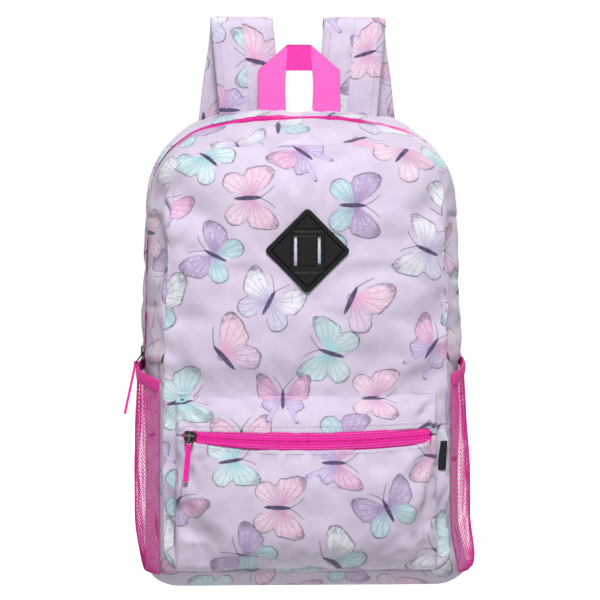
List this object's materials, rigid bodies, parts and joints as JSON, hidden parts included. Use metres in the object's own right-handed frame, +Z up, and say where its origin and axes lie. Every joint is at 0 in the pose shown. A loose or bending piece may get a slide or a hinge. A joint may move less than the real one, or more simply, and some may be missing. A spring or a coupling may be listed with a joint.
{
  "type": "school backpack",
  "caption": "Soft school backpack with a zipped main compartment, a zipped front pocket, mesh side pockets, padded shoulder straps, a webbing grab handle and a lash patch.",
  "frame": {"origin": "on the floor under the flat part of the base, on the bag's left-right centre line, 58 mm in front of the back panel", "axes": "+Z up, -Y towards the front of the bag, +X towards the right as seen from the front"},
  "size_m": [0.3211, 0.1827, 0.508],
  "materials": {
    "print_cloth": "woven polyester with an all-over print",
    "back_cloth": "plain air-mesh cloth",
    "lining": "plain coated lining",
    "foam": "closed-cell padding under cloth",
    "zip_pink": "woven zip tape and nylon teeth",
    "webbing_pink": "ribbed webbing",
    "net_pink": "open knitted net",
    "elastic_pink": "woven elastic",
    "ribbon_pink": "narrow satin ribbon",
    "gunmetal": "dark plated die-cast metal",
    "moulded_black": "moulded soft rubber, matt",
    "buckle_black": "moulded plastic",
    "label_black": "woven label"
  },
  "bodies": {
    "bag": {"back_panel": "back_cloth", "back_foam": "foam", "back_lining": "lining", "rear_gusset": "print_cloth", "side_panel_left": "print_cloth", "side_panel_right": "print_cloth", "bottom_panel": "print_cloth", "front_panel_lower": "print_cloth", "rear_zip_tape": "zip_pink", "rear_zip_coil": "zip_pink", "front_zip_ends": "zip_pink", "zip_stops": "gunmetal", "pocket_front": "print_cloth", "pocket_end_left": "print_cloth", "pocket_end_right": "print_cloth", "pocket_tape_lower": "zip_pink", "pocket_coil_lower": "zip_pink", "pocket_tape_ends": "zip_pink", "mesh_pocket_left": "net_pink", "mesh_pocket_right": "net_pink", "elastic_left": "elastic_pink", "elastic_right": "elastic_pink", "side_label": "label_black", "strap_base_left": "print_cloth", "strap_base_right": "print_cloth", "adjust_webbing_left": "webbing_pink", "adjust_webbing_right": "webbing_pink", "strap_wing_left": "print_cloth", "strap_wing_right": "print_cloth"},
    "flap": {"front_panel_upper": "print_cloth", "front_gusset": "print_cloth", "front_zip_tape": "zip_pink", "front_zip_coil": "zip_pink", "lash_patch": "moulded_black"},
    "main_slider": {"main_slider": "gunmetal"},
    "main_pull": {"main_pull_tab": "gunmetal"},
    "main_ribbon": {"main_pull_ribbon": "ribbon_pink"},
    "pocket_mouth": {"pocket_mouth_strip": "print_cloth", "pocket_tape_upper": "zip_pink", "pocket_coil_upper": "zip_pink"},
    "pocket_slider": {"pocket_slider": "gunmetal"},
    "pocket_pull": {"pocket_pull_tab": "gunmetal"},
    "pocket_ribbon": {"pocket_pull_ribbon": "ribbon_pink"},
    "handle": {"grab_handle": "webbing_pink"},
    "strap_left": {"shoulder_strap_left": "print_cloth", "lock_loop_left": "webbing_pink", "ladder_lock_left": "buckle_black", "webbing_tail_left": "webbing_pink"},
    "strap_right": {"shoulder_strap_right": "print_cloth", "lock_loop_right": "webbing_pink", "ladder_lock_right": "buckle_black", "webbing_tail_right": "webbing_pink"}
  },
  "joints": [
    {"name": "flap_fold", "type": "hinge", "parent": "bag", "child": "flap", "pos_m": [0, -0.0495, 0.21985], "axis": [1, 0, 0], "range_deg": [0, 80]},
    {"name": "main_zip_travel", "type": "slide", "parent": "bag", "child": "main_slider", "axis": [0.035, 0, 0.9994], "range_m": [0, 0.113]},
    {"name": "main_pull_swing", "type": "hinge", "parent": "main_slider", "child": "main_pull", "pos_m": [-0.14313, 0.012, 0.20771], "axis": [0, 1, 0], "range_deg": [0, 95]},
    {"name": "main_ribbon_swing", "type": "hinge", "parent": "main_pull", "child": "main_ribbon", "pos_m": [-0.15019, 0.012, 0.198], "axis": [0, 1, 0], "range_deg": [0, 70]},
    {"name": "pocket_mouth_lift", "type": "hinge", "parent": "bag", "child": "pocket_mouth", "pos_m": [0, -0.051, 0.176], "axis": [-1, 0, 0], "range_deg": [0, 50]},
    {"name": "pocket_zip_travel", "type": "hinge", "parent": "bag", "child": "pocket_slider", "pos_m": [0, 0.23526, 0.21741], "axis": [0, -0.2588, 0.9659], "range_deg": [0, 36.19]},
    {"name": "pocket_pull_swing", "type": "hinge", "parent": "pocket_slider", "child": "pocket_pull", "pos_m": [-0.10391, -0.07238, 0.13688], "axis": [-0.9505, 0.3, 0.0804], "range_deg": [0, 95]},
    {"name": "pocket_ribbon_swing", "type": "hinge", "parent": "pocket_pull", "child": "pocket_ribbon", "pos_m": [-0.10473, -0.07257, 0.12792], "axis": [-0.9505, 0.3, 0.0804], "range_deg": [0, 60]},
    {"name": "handle_fold", "type": "hinge", "parent": "bag", "child": "handle", "pos_m": [0, 0.05275, 0.4326], "axis": [1, 0, 0], "range_deg": [0, 80], "stiffness_Nm_per_rad": 0.01},
    {"name": "strap_left_swing", "type": "hinge", "parent": "bag", "child": "strap_left", "pos_m": [-0.052, 0.07, 0.508], "axis": [1, 0, 0], "range_deg": [0, 16], "deforming": ["adjust_webbing_left"]},
    {"name": "strap_right_swing", "type": "hinge", "parent": "bag", "child": "strap_right", "pos_m": [0.052, 0.07, 0.508], "axis": [1, 0, 0], "range_deg": [0, 16], "deforming": ["adjust_webbing_right"]}
  ]
}
